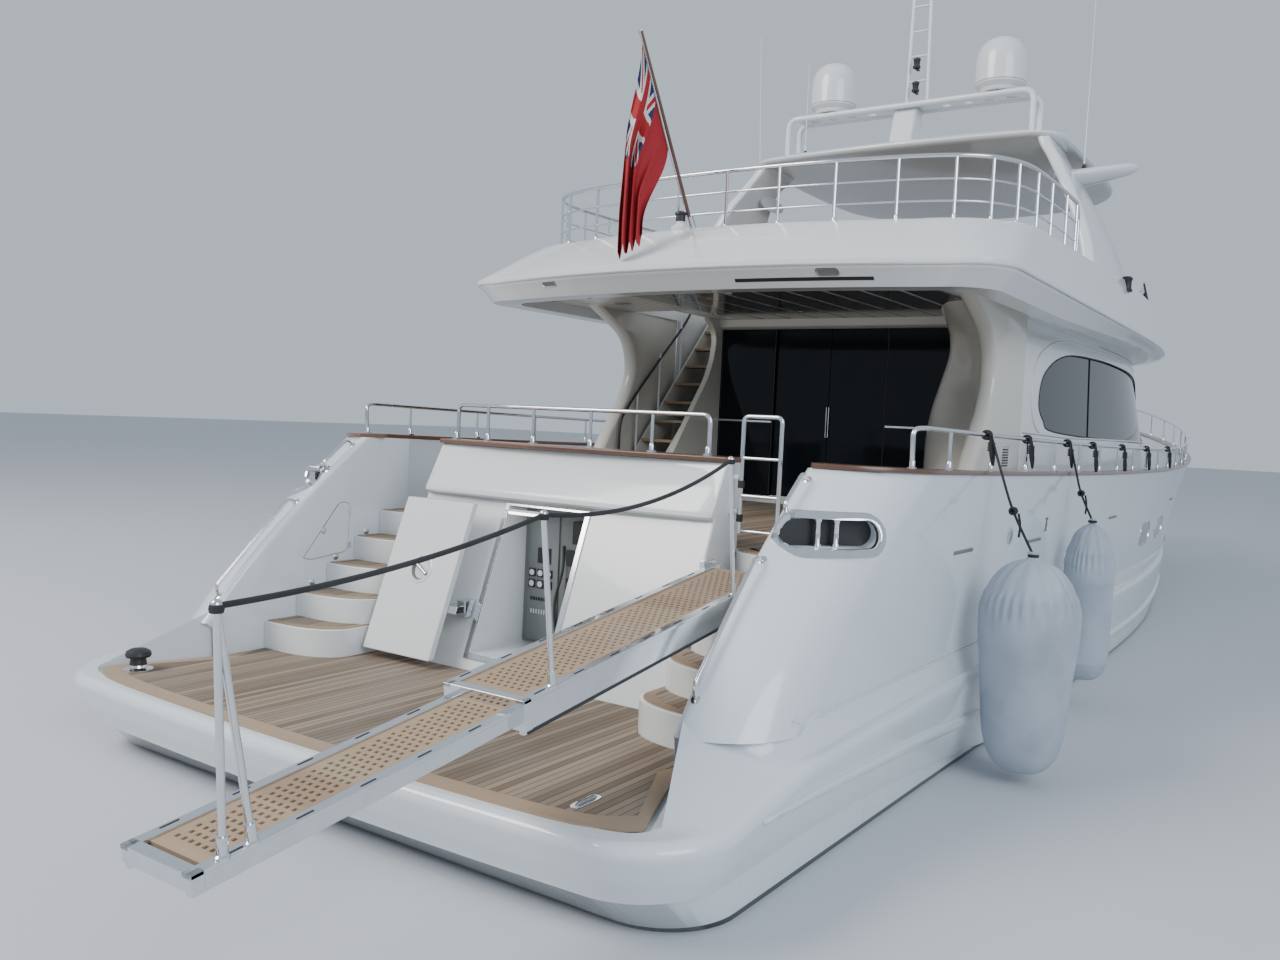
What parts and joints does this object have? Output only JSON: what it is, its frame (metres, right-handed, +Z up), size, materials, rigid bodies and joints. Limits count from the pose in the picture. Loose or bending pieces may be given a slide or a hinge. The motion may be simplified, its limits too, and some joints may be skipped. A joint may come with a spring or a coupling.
{
  "type": "motor yacht",
  "caption": "Tri-deck motor yacht afloat: hull with stern platform and stairs, glazed deckhouse, open upper deck, hardtop, mast and a telescoping gangway",
  "frame": {"origin": "on the centreline at mid-length, at the waterline", "axes": "+X to the bow, +Y to port, +Z up"},
  "size_m": [29.8226, 7.1629, 11.4271],
  "materials": {
    "gelcoat": "glossy",
    "deck_teak": "weathered, matt",
    "varnished_teak": "varnished, satin",
    "dark_glass": "near-black, polished",
    "stainless": "polished",
    "shaft_steel": "satin",
    "white_paint": "glossy",
    "moulded_white": "semi-gloss",
    "bronze": "dull",
    "galvanised": "galvanised, matt",
    "black_trim": "matt",
    "cushion": "woven",
    "bunting": "woven, matt"
  },
  "bodies": {
    "hull": {"hull": "gelcoat", "transom_block": "gelcoat", "transom_cap": "varnished_teak", "stair_port": "gelcoat", "stair_starboard": "gelcoat", "platform_teak": "deck_teak", "cap_port": "varnished_teak", "cap_starboard": "varnished_teak", "deckhouse": "gelcoat", "saloon_glass_port": "dark_glass", "saloon_glass_starboard": "dark_glass", "side_glass_port": "dark_glass", "side_glass_starboard": "dark_glass", "windscreen": "dark_glass", "upper_deck": "gelcoat", "side_wing_port": "gelcoat", "side_wing_starboard": "gelcoat", "upper_stair": "gelcoat", "upper_rail": "stainless", "transom_rail": "stainless", "side_rail_port": "stainless", "side_rail_starboard": "stainless", "arch_port": "gelcoat", "arch_starboard": "gelcoat", "hardtop": "gelcoat", "mast_frame": "white_paint", "mast_ladder": "white_paint", "dome_port": "moulded_white", "dome_starboard": "moulded_white", "flagstaff": "varnished_teak", "passerelle_foot": "stainless", "shaft_port": "shaft_steel", "shaft_starboard": "shaft_steel", "windlass": "stainless", "hatch_coaming": "gelcoat", "anchor": "galvanised", "doorway_frame": "stainless", "engine_door": "gelcoat", "door_arm": "stainless", "wing_rail_low_port": "stainless", "wing_rail_low_starboard": "stainless", "wing_rail_high_port": "stainless", "wing_rail_high_starboard": "stainless", "helm_console": "gelcoat", "fly_windscreen": "dark_glass", "fly_settee": "cushion", "flag": "bunting", "fender_aft": "cushion", "fender_forward": "cushion"},
    "passerelle": {"passerelle_inner": "stainless"},
    "passerelle_end": {"passerelle_outer": "stainless"},
    "gate": {"stern_gate": "stainless"},
    "saloon_leaf_port": {"saloon_door_port": "dark_glass"},
    "saloon_leaf_starboard": {"saloon_door_starboard": "dark_glass"},
    "screw_port": {"propeller_port": "bronze"},
    "screw_starboard": {"propeller_starboard": "bronze"},
    "steering_port": {"rudder_port": "bronze"},
    "steering_starboard": {"rudder_starboard": "bronze"},
    "hatch_lid": {"foredeck_hatch": "dark_glass"},
    "wheel": {"helm_wheel": "black_trim"}
  },
  "joints": [
    {"name": "passerelle_lift", "type": "hinge", "parent": "hull", "child": "passerelle", "pos_m": [-11.05, -1.985, 1.76], "axis": [0, 1, 0], "range_deg": [-3, 50]},
    {"name": "passerelle_extend", "type": "slide", "parent": "passerelle", "child": "passerelle_end", "axis": [0.9903, 0, 0.1392], "range_m": [0, 1.5]},
    {"name": "gate_swing", "type": "hinge", "parent": "hull", "child": "gate", "pos_m": [-10.55, -1.65, 2], "axis": [0, 0, 1], "range_deg": [0, 95]},
    {"name": "saloon_slide_port", "type": "slide", "parent": "hull", "child": "saloon_leaf_port", "axis": [0, 1, 0], "range_m": [0, 0.74]},
    {"name": "saloon_slide_starboard", "type": "slide", "parent": "hull", "child": "saloon_leaf_starboard", "axis": [0, -1, 0], "range_m": [0, 0.74]},
    {"name": "propeller_turn_port", "type": "hinge", "parent": "hull", "child": "screw_port", "pos_m": [-10.9, 1.25, -1.16], "axis": [0.9877, 0, 0.1564], "continuous": true},
    {"name": "propeller_turn_starboard", "type": "hinge", "parent": "hull", "child": "screw_starboard", "pos_m": [-10.9, -1.25, -1.16], "axis": [0.9877, 0, 0.1564], "continuous": true},
    {"name": "rudder_turn_port", "type": "hinge", "parent": "hull", "child": "steering_port", "pos_m": [-11.72, 1.25, -0.8], "axis": [0, 0, 1], "range_deg": [-35, 35]},
    {"name": "rudder_turn_starboard", "type": "hinge", "parent": "hull", "child": "steering_starboard", "pos_m": [-11.72, -1.25, -0.8], "axis": [0, 0, 1], "range_deg": [-35, 35]},
    {"name": "foredeck_hatch_open", "type": "hinge", "parent": "hull", "child": "hatch_lid", "pos_m": [10.19, 0, 2.3252], "axis": [0, 1, 0], "range_deg": [0, 80]},
    {"name": "helm_turn", "type": "hinge", "parent": "hull", "child": "wheel", "pos_m": [0.777, -0.25, 5.387], "axis": [0.776, 0, -0.6307], "continuous": true}
  ],
  "couplings": [
    {"joint": "rudder_turn_starboard", "follows": "rudder_turn_port", "ratio": 1}
  ]
}
